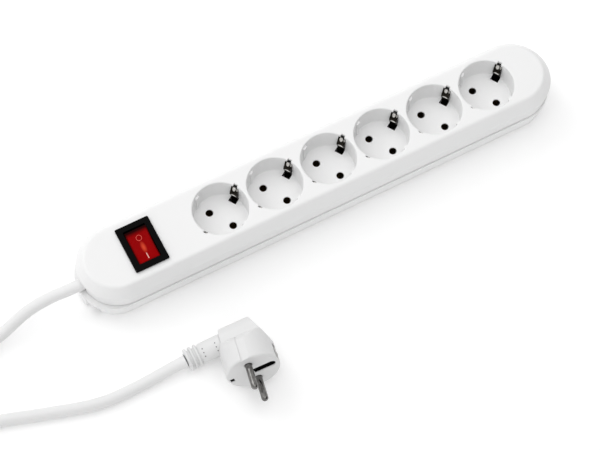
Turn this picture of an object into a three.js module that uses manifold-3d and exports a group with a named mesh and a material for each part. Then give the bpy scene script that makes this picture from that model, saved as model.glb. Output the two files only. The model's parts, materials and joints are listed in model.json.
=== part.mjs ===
// Six-way earthed power strip with an illuminated two-pole rocker switch and a lead with an angled plug.
// Millimetres, +Z up. The strip lies along X, its lead leaves at -X, and z = 0 is the surface it stands on.
import * as THREE from 'three';
import { mergeVertices } from 'three/addons/utils/BufferGeometryUtils.js';
import Module from 'manifold-3d';

// ---------------------------------------------------------------- driving dimensions
const GAP = 0.3;                       // clearance kept between touching pieces

// Plan of the strip: straight sides with half-round ends
const COVER_ARC = 154.1;               // distance of the cover's end-arc centres from its middle
const TRAY_EXTRA = 3.0;                // the tray reaches this much further at the lead end
const COVER_RADIUS = 28.1;             // widest part of the cover
const TOP_RADIUS = 22.4;               // flat top face
const SKIRT_RADIUS = 26.5;             // wall under the cover's bevelled edge
const LEDGE_RADIUS = 27.6;             // top edge of the tray
const TRAY_FOOT_RADIUS = 24.1;         // underside of the tray
const SHIFT = TRAY_EXTRA / 2 - 0.25;   // puts the origin under the middle of the strip

// Heights
const TOP = 40;
const BEVEL_DROP = 8.2;
const COVER_EDGE = 30.3;
const LEDGE = 18;
const FLOOR = 2.4;                     // thickness of the tray's floor
const PLATE = 2.3;                     // thickness of the cover's top
const WALL = 1.8;

// Sockets: CEE 7/3 wells in round inserts, 39 mm wide and 17.5 mm deep, pins 19 mm apart
const SOCKETS = 6;
const PITCH = 41.7;
const FIRST_SOCKET = -75.2;
const WELL_RADIUS = 19.5;
const WELL_DEPTH = 17.5;
const WELL_FLOOR = 2.5;
const CUP_RADIUS = 20.7;                // outside of a socket insert
const FOOT_ANGLE = THREE.MathUtils.degToRad(100);     // its two feet, from +X
const FOOT_REACH = 17;
const PIN_OFFSET = 9.5;
const PIN_HOLE = 2.75;
const PIN_ANGLE = THREE.MathUtils.degToRad(123.3);    // direction of the pin pair, from +X
const EARTH_ANGLE = PIN_ANGLE - Math.PI / 2;
const CLIP_WIDTH = 5;
const STRIP_THICKNESS = 0.8;           // sheet thickness of all contacts

// Contact bars under the wells
const BAR_Y = PIN_OFFSET * Math.sin(PIN_ANGLE);
const BAR_Z = 5;
const BAR_WIDTH = 7;
const BAR_START = -113;
const BAR_END = 146;
const EARTH_BAR_Z = 8.5;
const EARTH_BAR_WIDTH = 4.4;
const CLIP_Z = 9.7;

// Rocker switch
const SWITCH_X = -134.6;
const BEZEL = [24.9, 35, 1.7];
const SWITCH_BODY = [21.6, 30.8];
const SWITCH_BOTTOM = 25.5;
const ROCKER_HOLE = [16.4, 26.6];
const TERMINALS = [[-5, 8], [5, 8], [-5, -8], [5, -8]];
const PIVOT_Z = 36;
const ROCKER_TILT = THREE.MathUtils.degToRad(9);      // at rest the near half is pressed in

// Case screws, from below into the cover's posts
const SCREWS = [[-152, 17], [-152, -17], [29.05, 19], [29.05, -19], [166, 10], [166, -10]];
const POST_RADIUS = 3.3;
const POST_END = 6.2;

// Lead: round three-core sheath
const CORD_RADIUS = 4.2;
const CORD_Z = 22.5;
const CLAMP_X = -163;
const COIL_RADIUS = 46.3;              // middle of the coil's turns, which wind in on top and out below
const COIL_CENTRE = [-337.2, -19];
const CORE_RADIUS = 1.3;
// From the clamp through the end wall, sagging to the top of the coil
const CORD_FROM_STRIP = [
  [-157, 0, 22.5], [-171, 0, 22.5], [-184.7, 0, 22.5], [-194, 0.6, 21.8], [-203, 1.6, 20.3], [-213, 2, 17.9],
  [-222.5, 1.6, 15.2], [-234, -0.4, 11.4], [-245.5, -3.2, 8.6], [-256, -4.5, 7.9], [-266, -3.3, 9.3],
  [-276, 0.1, 11.6],
];
// From the bottom of the coil along the floor to the plug's sleeve
const CORD_TO_PLUG = [
  [-284.5, -55.6, 4.3], [-277, -55.9, 4.3], [-270, -57.4, 4.3], [-258, -61.2, 4.3], [-246, -65.2, 4.3],
  [-233, -69.3, 4.3], [-221, -73, 4.3], [-208, -76.2, 4.3], [-195, -77.8, 4.3], [-183, -78, 4.3],
  [-172, -77.8, 4.5], [-162, -77.5, 5.5], [-152, -77.3, 6.9], [-141.2, -77.3, 7.9],
];

// Plug: round 38 mm face, lead leaving square to the pins
const PLUG_AT = [-106.2, -110, 22.4];
const PLUG_YAW = THREE.MathUtils.degToRad(-8.5);
const PLUG_PITCH = THREE.MathUtils.degToRad(-17.9);
const PLUG_ROLL = THREE.MathUtils.degToRad(78.3);
const PLUG_RADIUS = 18.8;
const PLUG_BACK = -40;
const HOOD_RADIUS = 8.6;
const HOOD_END = -14.2;
const NECK_Z = PLUG_BACK + 9.8;        // axis of the sleeve and of the lead's entry
const PIN_RADIUS = 2.4;
const PIN_LENGTH = 19;
const SPIGOT = 3.7;                    // part of the sleeve held inside the plug
const BOOT_LENGTH = 28 + SPIGOT;
const BOOT_BEND = THREE.MathUtils.degToRad(20.3);
const BOOT_LEAN = THREE.MathUtils.degToRad(28);       // the bend leans from straight up to the pins' side

// ---------------------------------------------------------------- materials
const finish = (color, roughness, metalness = 0) => (
  new THREE.MeshStandardMaterial({ color, roughness, metalness }));
const white = () => finish(0xf2f2f0, 0.4);
const whiteCord = () => finish(0xf0f0ee, 0.5);
const black = () => finish(0x0c0c0d, 0.35);
const brass = () => finish(0xc9a24a, 0.35, 1);
const nickel = () => finish(0xb9bbbd, 0.25, 1);
const steel = () => finish(0x9c9ea1, 0.4, 1);

// ---------------------------------------------------------------- solids
const wasm = await Module();
wasm.setup();

function signedVolume(position, index) {
  const a = new THREE.Vector3();
  const b = new THREE.Vector3();
  const c = new THREE.Vector3();
  let volume = 0;
  for (let i = 0; i < index.length; i += 3) {
    a.fromBufferAttribute(position, index[i]);
    b.fromBufferAttribute(position, index[i + 1]);
    c.fromBufferAttribute(position, index[i + 2]);
    volume += a.dot(b.cross(c));
  }
  return volume;
}

// A closed three.js geometry as a solid that can be joined and cut
function solid(geometry) {
  geometry.deleteAttribute('normal');
  geometry.deleteAttribute('uv');
  const merged = mergeVertices(geometry, 1e-4);
  const all = merged.index.array;
  let triangles = [];
  for (let i = 0; i < all.length; i += 3) {
    const [a, b, c] = [all[i], all[i + 1], all[i + 2]];
    if (a !== b && b !== c && c !== a) triangles.push(a, b, c);
  }
  if (signedVolume(merged.attributes.position, triangles) < 0) triangles = triangles.reverse();
  const vertProperties = new Float32Array(merged.attributes.position.array);
  const triVerts = new Uint32Array(triangles);
  return new wasm.Manifold(new wasm.Mesh({ numProp: 3, vertProperties, triVerts }));
}

function mesh(name, body, material) {
  const { vertProperties, triVerts } = body.getMesh();
  const geometry = new THREE.BufferGeometry();
  geometry.setAttribute('position', new THREE.BufferAttribute(vertProperties, 3));
  geometry.setIndex(new THREE.BufferAttribute(triVerts, 1));
  geometry.computeVertexNormals();
  const made = new THREE.Mesh(geometry, material);
  made.name = name;
  return made;
}

const joined = (bodies) => bodies.reduce((sum, body) => sum.add(body));
const cutBy = (body, tools) => tools.reduce((rest, tool) => rest.subtract(tool), body);

// Box given by its lowest corner and its size
function block(low, size) {
  const geometry = new THREE.BoxGeometry(...size);
  geometry.translate(low[0] + size[0] / 2, low[1] + size[1] / 2, low[2] + size[2] / 2);
  return solid(geometry);
}

// Box centred on (radius, 0), turned about Z by angle and moved to (x, y)
function turnedBlock(x, y, angle, radius, size, z) {
  const geometry = new THREE.BoxGeometry(...size);
  geometry.translate(radius, 0, z + size[2] / 2);
  geometry.rotateZ(angle);
  geometry.translate(x, y, 0);
  return solid(geometry);
}

// Upright round piece; the profile is [radius, z] pairs, closed by the axis unless it is a ring
function turned(profile, segments = 32, ring = false) {
  const points = profile.map(([r, z]) => new THREE.Vector2(r, z));
  if (ring) points.push(points[0].clone());
  const geometry = new THREE.LatheGeometry(points, segments);
  geometry.rotateX(Math.PI / 2);
  return geometry;
}

const rod = (x, y, low, high, radius, segments = 16) => {
  const geometry = turned([[0, low], [radius, low], [radius, high], [0, high]], segments);
  geometry.translate(x, y, 0);
  return solid(geometry);
};

// A turned profile pulled apart along X: half-round ends at left and right, straight sides between
function stadium(profile, left, right, segments = 32) {
  const step = (2 * Math.PI) / segments;
  const widen = 1 / Math.cos(step / 2);
  const points = profile.map(([r, z]) => new THREE.Vector2(r * widen, z));
  const geometry = new THREE.LatheGeometry(points, segments, step / 2);
  const position = geometry.attributes.position;
  for (let i = 0; i < position.count; i++) {
    const phi = step / 2 + Math.floor(i / points.length) * step;
    position.setX(i, position.getX(i) + (Math.sin(phi) > 0 ? right : left));
  }
  geometry.rotateX(Math.PI / 2);
  return solid(geometry);
}

// Sheet-metal section: a line of points given a thickness
function ribbon(line, thickness) {
  const half = thickness / 2;
  const sides = [[], []];
  line.forEach(([x, y], i) => {
    const before = line[Math.max(i - 1, 0)];
    const after = line[Math.min(i + 1, line.length - 1)];
    const into = new THREE.Vector2(x - before[0], y - before[1]);
    const out = new THREE.Vector2(after[0] - x, after[1] - y);
    if (i === 0) into.copy(out);
    if (i === line.length - 1) out.copy(into);
    const along = into.normalize().clone().add(out.normalize()).normalize();
    const reach = half / Math.max(along.dot(out), 0.5);
    sides[0].push(new THREE.Vector2(x - along.y * reach, y + along.x * reach));
    sides[1].unshift(new THREE.Vector2(x + along.y * reach, y - along.x * reach));
  });
  return new THREE.Shape([...sides[0], ...sides[1]]);
}

// Outline drawn in X-Z (or, turned, any upright plane) and given a width across it, centred
function upright(shape, width) {
  const geometry = new THREE.ExtrudeGeometry(shape, { depth: width, bevelEnabled: false, curveSegments: 5 });
  geometry.translate(0, 0, -width / 2);
  geometry.rotateX(Math.PI / 2);
  return geometry;
}

const outline = (points) => new THREE.Shape(points.map(([x, y]) => new THREE.Vector2(x, y)));

// Round tube along a smooth curve through the points
function tube(points, radius, steps, sides) {
  const path = new THREE.CatmullRomCurve3(points.map((p) => new THREE.Vector3(...p)), false, 'centripetal');
  const section = new THREE.Shape();
  for (let i = 0; i < sides; i++) {
    const angle = (2 * Math.PI * i) / sides;
    const at = [radius * Math.cos(angle), radius * Math.sin(angle)];
    if (i === 0) section.moveTo(...at);
    else section.lineTo(...at);
  }
  section.closePath();
  return solid(new THREE.ExtrudeGeometry(section, { steps, bevelEnabled: false, extrudePath: path }));
}

const socketXs = Array.from({ length: SOCKETS }, (_, i) => FIRST_SOCKET + i * PITCH);
const wellFloorTop = TOP - WELL_DEPTH;
const wellFloorBottom = wellFloorTop - WELL_FLOOR;
const pinAt = (x, side) => [x + side * PIN_OFFSET * Math.cos(PIN_ANGLE), side * BAR_Y];

// ---------------------------------------------------------------- cover and socket inserts
function makeCover() {
  const skirtInside = SKIRT_RADIUS - WALL;
  const shell = stadium([
    [0, LEDGE + GAP], [SKIRT_RADIUS, LEDGE + GAP], [SKIRT_RADIUS, COVER_EDGE], [COVER_RADIUS, COVER_EDGE],
    [COVER_RADIUS, TOP - BEVEL_DROP], [TOP_RADIUS, TOP], [0, TOP],
  ], -COVER_ARC, COVER_ARC);
  const inside = stadium([
    [0, LEDGE], [skirtInside, LEDGE], [skirtInside, TOP - BEVEL_DROP], [TOP_RADIUS - WALL, TOP - PLATE],
    [0, TOP - PLATE],
  ], -COVER_ARC, COVER_ARC);
  const posts = SCREWS.map(([x, y]) => rod(x, y, POST_END, TOP - 1, POST_RADIUS, 12));
  const walls = [-112.5, 156.5].map((x) => block([x, -23, 24], [1.6, 46, TOP - 1 - 24]));
  const cover = joined([shell.subtract(inside), ...walls, ...posts]);

  const mouths = socketXs.map((x) => {
    const geometry = turned([
      [0, TOP - 6], [WELL_RADIUS - 0.1, TOP - 6], [WELL_RADIUS - 0.1, TOP - 0.8], [WELL_RADIUS + 0.6, TOP],
      [WELL_RADIUS + 0.6, TOP + 1], [0, TOP + 1],
    ], 32);
    geometry.translate(x, 0, 0);
    return solid(geometry);
  });
  const notches = socketXs.flatMap((x) => [0, Math.PI].map((half) => (
    turnedBlock(x, 0, EARTH_ANGLE + half, WELL_RADIUS + 0.7, [2.6, 3.2, 6], TOP - 5))));
  const pilots = SCREWS.map(([x, y]) => rod(x, y, POST_END - 1, TOP - 10, 1.75, 10));
  const switchHole = block([SWITCH_X - 11.1, -15.7, TOP - 10], [22.2, 31.4, 12]);
  const cordNotch = joined([
    rodAlongX(-190, -170, 0, CORD_Z, CORD_RADIUS + GAP),
    block([-190, -CORD_RADIUS - GAP, LEDGE - 1], [20, 2 * (CORD_RADIUS + GAP), CORD_Z - LEDGE + 1]),
  ]);
  return cutBy(cover, [...mouths, ...notches, ...pilots, switchHole, cordNotch]);
}

// Round cup under one mouth of the cover, about its own middle, standing on the tray on two feet
function makeSocketInsert() {
  const rim = TOP - PLATE - GAP;
  const cup = rod(0, 0, wellFloorBottom, rim, CUP_RADIUS, 28);
  const feet = [0, Math.PI].map((half) => {
    const at = [FOOT_REACH * Math.cos(FOOT_ANGLE + half), FOOT_REACH * Math.sin(FOOT_ANGLE + half)];
    return rod(...at, FLOOR + GAP, wellFloorBottom + 1, 1.9, 8);
  });
  const well = solid(turned([
    [0, wellFloorTop], [WELL_RADIUS - 0.5, wellFloorTop], [WELL_RADIUS - 0.1, rim + 1], [0, rim + 1],
  ], 28));
  const ribSize = [2.2, 3.6, rim - wellFloorTop];
  const ribs = [0, Math.PI].map((half) => (
    turnedBlock(0, 0, PIN_ANGLE + half, WELL_RADIUS - 0.9, ribSize, wellFloorTop - 0.5)));
  const pinHoles = [1, -1].map((side) => (
    rod(...pinAt(0, side), wellFloorBottom - 1, wellFloorTop + 1, PIN_HOLE, 14)));
  const clipSlots = [0, Math.PI].map((half) => (
    turnedBlock(0, 0, EARTH_ANGLE + half, 18.6, [5.6, CLIP_WIDTH + 1.6, 20], wellFloorBottom - 0.5)));
  return cutBy(joined([joined([cup, ...feet]).subtract(well), ...ribs]), [...pinHoles, ...clipSlots]);
}

function rodAlongX(from, to, y, z, radius, segments = 20) {
  const geometry = new THREE.CylinderGeometry(radius, radius, to - from, segments);
  geometry.rotateZ(Math.PI / 2);
  geometry.translate((from + to) / 2, y, z);
  return solid(geometry);
}

// ---------------------------------------------------------------- tray
function makeTray() {
  const left = -COVER_ARC - TRAY_EXTRA;
  const lean = (LEDGE_RADIUS - TRAY_FOOT_RADIUS) / (LEDGE - 1.4);
  const shell = stadium([
    [0, 0], [TRAY_FOOT_RADIUS - 0.8, 0], [TRAY_FOOT_RADIUS, 0.8], [LEDGE_RADIUS, LEDGE - 1.4],
    [LEDGE_RADIUS, LEDGE], [0, LEDGE],
  ], left, COVER_ARC);
  const inside = stadium([
    [0, FLOOR], [TRAY_FOOT_RADIUS - 2 + lean * FLOOR, FLOOR], [LEDGE_RADIUS - 2.6, LEDGE - 3.6],
    [LEDGE_RADIUS - 2.6, LEDGE + 1], [0, LEDGE + 1],
  ], left, COVER_ARC);
  const tongueOut = SKIRT_RADIUS - WALL - GAP;
  const shelf = stadium([
    [0, LEDGE - 2.4], [LEDGE_RADIUS - 1, LEDGE - 2.4], [LEDGE_RADIUS - 1, LEDGE], [0, LEDGE],
  ], left, COVER_ARC);
  const tongue = stadium([
    [0, LEDGE - 1], [tongueOut, LEDGE - 1], [tongueOut, LEDGE + 3], [0, LEDGE + 3],
  ], -COVER_ARC, COVER_ARC);
  const tongueInside = stadium([
    [0, LEDGE - 3], [tongueOut - 1.4, LEDGE - 3], [tongueOut - 1.4, LEDGE + 4], [0, LEDGE + 4],
  ], -COVER_ARC, COVER_ARC);
  const posts = SCREWS.map(([x, y]) => rod(x, y, 1, POST_END - GAP, 4.6, 16));
  const ribs = [...socketXs, BAR_END + 8.2].map((x) => joined([
    block([x - PITCH / 2 - 0.8, -20, 1], [1.6, 40, BAR_Z - GAP - 1]),
    block([x - PITCH / 2 - 0.8, -EARTH_BAR_WIDTH / 2, 1], [1.6, EARTH_BAR_WIDTH, EARTH_BAR_Z - GAP - 1]),
  ]));
  const saddle = block([CLAMP_X - 4, -13, 1], [8, 26, CORD_Z - 1]);
  const filled = stadium([
    [0, 1], [LEDGE_RADIUS - 1, 1], [LEDGE_RADIUS - 1, LEDGE], [0, LEDGE],
  ], left, COVER_ARC);
  const endWall = filled.intersect(block([-190, -7, 0], [12, 14, 30]));
  const rim = shelf.add(tongue).subtract(tongueInside);
  const tray = joined([shell.subtract(inside), rim, ...posts, ...ribs, saddle, endWall]);

  const heads = SCREWS.map(([x, y]) => rod(x, y, -1, 3.4, 3.3, 14));
  const shanks = SCREWS.map(([x, y]) => rod(x, y, 1, 8, 1.75, 10));
  const cordWay = rodAlongX(-190, CLAMP_X + 6, 0, CORD_Z, CORD_RADIUS + GAP);
  const cordTop = block([-190, -CORD_RADIUS - GAP, CORD_Z], [36, 2 * (CORD_RADIUS + GAP), 10]);
  const clampPilots = [-9.5, 9.5].map((y) => rod(CLAMP_X, y, CORD_Z - 12, CORD_Z + 1, 1.45, 12));
  const hangSlot = joined([block([-190, -15.4, -1], [13, 3.8, 9]), rod(-177, -13.5, -1, 8, 2.6, 16)]);
  const label = block([-30, -14, -1], [84, 28, 1.4]);
  return cutBy(tray, [...heads, ...shanks, cordWay, cordTop, ...clampPilots, hangSlot, label]);
}

// ---------------------------------------------------------------- contacts
// Fork that grips one pin: two sprung leaves rising from the bar
function makeFork(x, y) {
  const leaf = [[0, 0], [3.1, 0], [3.3, 4.5], [2.1 + STRIP_THICKNESS, 9], [4, 13]];
  const line = [...leaf.slice(1).reverse().map(([r, z]) => [-r, z]), ...leaf];
  const geometry = upright(ribbon(line, STRIP_THICKNESS), BAR_WIDTH);
  geometry.rotateZ(Math.PI / 2);
  geometry.translate(x, y, BAR_Z + STRIP_THICKNESS / 2);
  return solid(geometry);
}

function makeBar(side) {
  const strip = block([BAR_START, side * BAR_Y - 2.7, BAR_Z], [BAR_END - BAR_START, 5.4, STRIP_THICKNESS]);
  const forks = socketXs.map((x) => makeFork(...pinAt(x, side)));
  const tab = block([BAR_START, side * BAR_Y - 2.2, BAR_Z], [STRIP_THICKNESS, 4.4, 8]);
  return joined([strip, ...forks, tab]);
}

function makeEarthBar() {
  const corner = [BAR_START - 4, -EARTH_BAR_WIDTH / 2, EARTH_BAR_Z];
  const strip = block(corner, [BAR_END - BAR_START + 4, EARTH_BAR_WIDTH, STRIP_THICKNESS]);
  return strip.add(block(corner, [STRIP_THICKNESS, EARTH_BAR_WIDTH, 7]));
}

// U-shaped spring whose two arms stand in the well's side slots
function makeEarthClip() {
  const arm = [[17.9, 0], [18.9, 2.2], [18.9, 13.4], [16.9, 20.2], [17.4, 22.2], [19.7, 26.8]];
  const line = [...arm.slice().reverse().map(([r, z]) => [-r, z]), ...arm];
  const geometry = upright(ribbon(line, STRIP_THICKNESS), CLIP_WIDTH);
  geometry.rotateZ(EARTH_ANGLE);
  return solid(geometry);
}

// ---------------------------------------------------------------- switch
function makeSwitchHousing() {
  const frame = new THREE.Shape([
    new THREE.Vector2(-BEZEL[0] / 2, -BEZEL[1] / 2), new THREE.Vector2(BEZEL[0] / 2, -BEZEL[1] / 2),
    new THREE.Vector2(BEZEL[0] / 2, BEZEL[1] / 2), new THREE.Vector2(-BEZEL[0] / 2, BEZEL[1] / 2),
  ]);
  const bevel = 0.5;
  const bezel = new THREE.ExtrudeGeometry(frame, {
    depth: BEZEL[2] - bevel, bevelThickness: bevel, bevelSize: bevel, bevelOffset: -bevel, bevelSegments: 1,
  });
  bezel.translate(0, 0, TOP + GAP);
  const seat = block([-BEZEL[0] / 2 + 1, -BEZEL[1] / 2 + 1, TOP + GAP], [BEZEL[0] - 2, BEZEL[1] - 2, 1]);
  const half = SWITCH_BODY.map((size) => size / 2);
  const body = block([-half[0], -half[1], SWITCH_BOTTOM], [...SWITCH_BODY, TOP + 1 - SWITCH_BOTTOM]);
  const latch = outline([[0, 0], [1.0, -0.2], [1.0, -1.6], [0, -5]]);
  const latches = [0, Math.PI].map((turn) => {
    const geometry = upright(latch, 8);
    geometry.translate(half[1] - 0.1, 0, TOP - PLATE - GAP);
    geometry.rotateZ(turn + Math.PI / 2);
    return solid(geometry);
  });
  const hole = ROCKER_HOLE.map((size) => size / 2);
  const cavity = block([-hole[0], -hole[1], SWITCH_BOTTOM + 3], [...ROCKER_HOLE, 20]);
  const bearing = rodAlongX(-9.9, 9.9, 0, PIVOT_Z, 1.9);
  const slots = TERMINALS.map(([x, y]) => block([x - 0.7, y - 2.7, SWITCH_BOTTOM - 1], [1.4, 5.4, 5]));
  const housing = solid(cropBelow(bezel)).add(seat).add(body);
  return cutBy(joined([housing, ...latches]), [cavity, bearing, ...slots]);
}

// The bezel's lower bevel is squared off, so that it sits flat
function cropBelow(geometry) {
  const position = geometry.attributes.position;
  for (let i = 0; i < position.count; i++) position.setZ(i, Math.max(position.getZ(i), TOP + GAP));
  return geometry;
}

function makeRocker() {
  const side = outline([
    [-11.9, 6.6], [0, 4.7], [11.9, 6.6], [12.9, 1], [12.9, -1], [12.3, -3.4], [-12.3, -3.4], [-12.9, -1],
    [-12.9, 1],
  ]);
  const geometry = upright(side, 15.8);
  geometry.rotateZ(Math.PI / 2);
  const pins = rodAlongX(-9.5, 9.5, 0, 0, 1.6);
  const well = block([-6.2, -10, -5], [12.4, 20, 4.6]);
  const lampWay = block([-2.4, -6, -1], [4.8, 12, 3.6]);
  return cutBy(solid(geometry).add(pins), [well, lampWay]);
}

function makeLamp() {
  const geometry = new THREE.CapsuleGeometry(2, 7, 3, 12);
  geometry.translate(0, 0, 0.3);
  return solid(geometry);
}

function makeTerminal() {
  const blade = outline([[-2.4, -9], [-1.4, -10.5], [1.4, -10.5], [2.4, -9], [2.4, 0], [3.4, 0], [3.4, 0.8],
    [-3.4, 0.8], [-3.4, 0], [-2.4, 0]]);
  const eye = new THREE.Path();
  eye.absarc(0, -7.6, 0.8, 0, 2 * Math.PI, true);
  blade.holes.push(eye);
  const geometry = upright(blade, STRIP_THICKNESS);
  geometry.rotateZ(Math.PI / 2);
  return solid(geometry);
}

// ---------------------------------------------------------------- fasteners and clamp
function makeScrew(headRadius, headHeight, shankRadius, length) {
  return solid(turned([[0, 0], [headRadius, 0], [headRadius, headHeight], [shankRadius, headHeight],
    [shankRadius, length - 1.5], [0, length]], 12));
}

function makeCordClamp() {
  const arch = new THREE.Shape();
  const under = CORD_RADIUS + GAP;
  arch.moveTo(-12.5, 0.6);
  arch.lineTo(-under, 0.6);
  arch.absarc(0, 0, under, Math.PI - 0.14, 0.14, true);
  arch.lineTo(12.5, 0.6);
  arch.lineTo(12.5, 3.2);
  arch.lineTo(6.6, 3.4);
  arch.lineTo(4.4, 6.2);
  arch.lineTo(-4.4, 6.2);
  arch.lineTo(-6.6, 3.4);
  arch.lineTo(-12.5, 3.2);
  const geometry = new THREE.ExtrudeGeometry(arch, { depth: 7, bevelEnabled: false, curveSegments: 6 });
  geometry.translate(0, 0, -3.5);
  geometry.rotateX(Math.PI / 2);
  geometry.rotateZ(Math.PI / 2);
  geometry.translate(CLAMP_X, 0, CORD_Z);
  const holes = [-9.5, 9.5].map((y) => rod(CLAMP_X, y, CORD_Z - 2, CORD_Z + 8, 1.75, 12));
  return cutBy(solid(geometry), holes);
}

// ---------------------------------------------------------------- plug
function makePlugBody() {
  const skirt = solid(turned([[0, PLUG_BACK], [PLUG_RADIUS - 0.3, PLUG_BACK], [PLUG_RADIUS - 0.3, -12],
    [PLUG_RADIUS, -1], [PLUG_RADIUS - 0.8, 0], [0, 0]], 40));
  const sideView = solid(upright(outline([[-19, 1], [19, 1], [18.7, -15], [17.8, -17.5], [7.4, PLUG_BACK],
    [HOOD_END, PLUG_BACK], [HOOD_END, -22.4], [-17.4, -18.4], [-19, -14]]), 50));
  const shoulders = [[19, -12], [18, -16.5], [15.6, -20.5], [12.2, -23], [HOOD_RADIUS, -24.2],
    [HOOD_RADIUS, -32.6], [7, -36.8], [4.6, -39.2], [2, PLUG_BACK]];
  const mirrored = shoulders.map(([y, z]) => [-y, z]);
  const endView = upright(outline([[-19, 1], ...mirrored, ...shoulders.reverse(), [19, 1]]), 50);
  endView.rotateZ(Math.PI / 2);
  const body = skirt.intersect(sideView).intersect(solid(endView));
  const pinSockets = [-PIN_OFFSET, PIN_OFFSET].map((y) => rod(0, y, -6, 1, PIN_RADIUS + GAP, 16));
  const guides = [1, -1].map((side) => block([-1.8, side * 18.8 - 1, -18], [4, 2, 20]));
  const sideWells = [1, -1].map((side) => block([side * 18.3 - 1.2, -3.2, -13], [2.4, 6.4, 11.5]));
  const faceSlot = joined([block([0.4, -2.9, -12], [13, 5.8, 13]), rod(13.4, 0, -12, 1, 2.9, 16)]);
  const faceHole = block([-17, -1.8, -8], [3, 3.6, 9]);
  const bootSeat = rodAlongX(HOOD_END - 1, HOOD_END + SPIGOT + 0.4, 0, NECK_Z, 5.7, 18);
  return cutBy(body, [...pinSockets, ...guides, ...sideWells, faceSlot, faceHole, bootSeat]);
}

function makePlugPin() {
  const tip = [0.25, 0.5, 0.75].map((part) => {
    const angle = (part * Math.PI) / 2;
    return [PIN_RADIUS * Math.cos(angle), PIN_LENGTH - PIN_RADIUS + PIN_RADIUS * Math.sin(angle)];
  });
  return solid(turned([[0, -5.7], [PIN_RADIUS, -5.7], [PIN_RADIUS, PIN_LENGTH - PIN_RADIUS], ...tip,
    [0, PIN_LENGTH]], 16));
}

function makePlugSpring(side) {
  const line = [[17.6, -12.4], [17.9, -10], [18.5, -6.5], [17.9, -3], [17.6, -1.9]];
  return solid(upright(ribbon(line.map(([x, z]) => [side * x, z]), 0.6), 5.2));
}

// Earth socket of the plug: a plate at the bottom of the face slot, folded up in two steps at its inner end
function makePlugStrip() {
  const plate = block([0.8, -2.5, -11.6], [12, 5, STRIP_THICKNESS]);
  const eye = rod(9, 0, -13, -9, 1.8, 12);
  const steps = [[0.8, -2], [2.6, -3.6]].map(([x, top]) => (
    block([x, -2.5, -11.6], [STRIP_THICKNESS, 5, top + 11.6])));
  return joined([plate.subtract(eye), ...steps]);
}

// Ribbed sleeve where the lead enters the plug, bent so that the lead runs on level
function makeBoot() {
  const bore = CORD_RADIUS + GAP;
  const ribs = [9.8, 6.2, 2.6].flatMap((back) => [
    [6, BOOT_LENGTH - back], [7.9, BOOT_LENGTH - back + 0.2], [7.9, BOOT_LENGTH - back + 2.2],
    [6, BOOT_LENGTH - back + 2.4]]);
  const profile = [[bore, 0], [5.3, 0], [5.3, SPIGOT], [7.3, SPIGOT + GAP], [7.1, SPIGOT + 15], ...ribs,
    ...[1, 0.75, 0.5, 0.25].map((part) => [bore, BOOT_LENGTH * part])];
  const geometry = turned(profile, 14, true);
  const position = geometry.attributes.position;
  const bendRadius = (BOOT_LENGTH - SPIGOT) / BOOT_BEND;
  for (let i = 0; i < position.count; i++) {
    const past = Math.max(position.getZ(i) - SPIGOT, 0);
    const straight = position.getZ(i) - past;
    const arm = bendRadius - position.getX(i);
    const angle = past / bendRadius;
    position.setX(i, bendRadius - arm * Math.cos(angle));
    position.setZ(i, straight + arm * Math.sin(angle));
  }
  return solid(geometry);
}

// ---------------------------------------------------------------- lead
// Outer shape of the coiled length: three turns wide and two high
function makeCoil() {
  const inner = COIL_RADIUS - 3 * CORD_RADIUS;
  const outer = COIL_RADIUS + 3 * CORD_RADIUS;
  const height = 4 * CORD_RADIUS;
  const round = 2;
  const geometry = turned([
    [inner + round, 0.05], [outer - round, 0.05], [outer, round], [outer, height - round],
    [outer - round, height], [inner + round, height], [inner, height - round], [inner, round],
  ], 28, true);
  geometry.translate(...COIL_CENTRE, 0);
  return solid(geometry);
}

// Insulated cores inside the strip, from the stripped sheath to their terminals
const CORES = {
  live_wire_in: [[-156, 2.4, 22.6], [-152, 5, 22.6], [-147, 8, 19], [-143.4, 8, 12],
    [-139.7, 8, 12.6], [-139.7, 8, 18]],
  neutral_wire_in: [[-156, -2.4, 22.6], [-152, -5, 22.6], [-147, -8, 19], [-143.4, -8, 12],
    [-139.7, -8, 12.6], [-139.7, -8, 18]],
  earth_wire: [[-156, 0, 20.6], [-151, 0, 16], [-143, 0, 8], [-131, 0, 5.6], [-124, 0, 7.4], [-119, 0, 11]],
  live_wire_out: [[-129.5, 8, 18], [-129.5, 8, 12.6], [-127, 8, 9.4], [-121, 8, 8.6], [-115, 8, 9.4]],
  neutral_wire_out: [[-129.5, -8, 18], [-129.5, -8, 12.6], [-127, -8, 9.4], [-121, -8, 8.6], [-115, -8, 9.4]],
};

// ---------------------------------------------------------------- assembly
const strip = new THREE.Group();
strip.position.x = SHIFT;
const add = (name, body, material, place = [0, 0, 0]) => {
  const made = mesh(name, body, material);
  made.position.set(...place);
  strip.add(made);
  return made;
};

add('top_cover', makeCover(), white());
add('base_tray', makeTray(), white());
add('live_busbar', makeBar(1), brass());
add('neutral_busbar', makeBar(-1), brass());
add('earth_busbar', makeEarthBar(), brass());
socketXs.forEach((x, i) => {
  add(`socket_insert_${i + 1}`, makeSocketInsert(), white(), [x, 0, 0]);
  add(`earth_clip_${i + 1}`, makeEarthClip(), nickel(), [x, 0, CLIP_Z + 0.4]);
});

add('switch_housing', makeSwitchHousing(), black(), [SWITCH_X, 0, 0]);
TERMINALS.forEach(([x, y], i) => {
  add(`switch_terminal_${i + 1}`, makeTerminal(), brass(), [SWITCH_X + x, y, SWITCH_BOTTOM + 3 + GAP]);
});
const rockerGroup = new THREE.Group();
rockerGroup.position.set(SWITCH_X, 0, PIVOT_Z);
rockerGroup.rotation.x = ROCKER_TILT;
rockerGroup.add(mesh('switch_rocker', makeRocker(), finish(0x9c0606, 0.25)));
rockerGroup.add(mesh('switch_lamp', makeLamp(), finish(0xff7a3c, 0.2)));
strip.add(rockerGroup);

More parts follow.
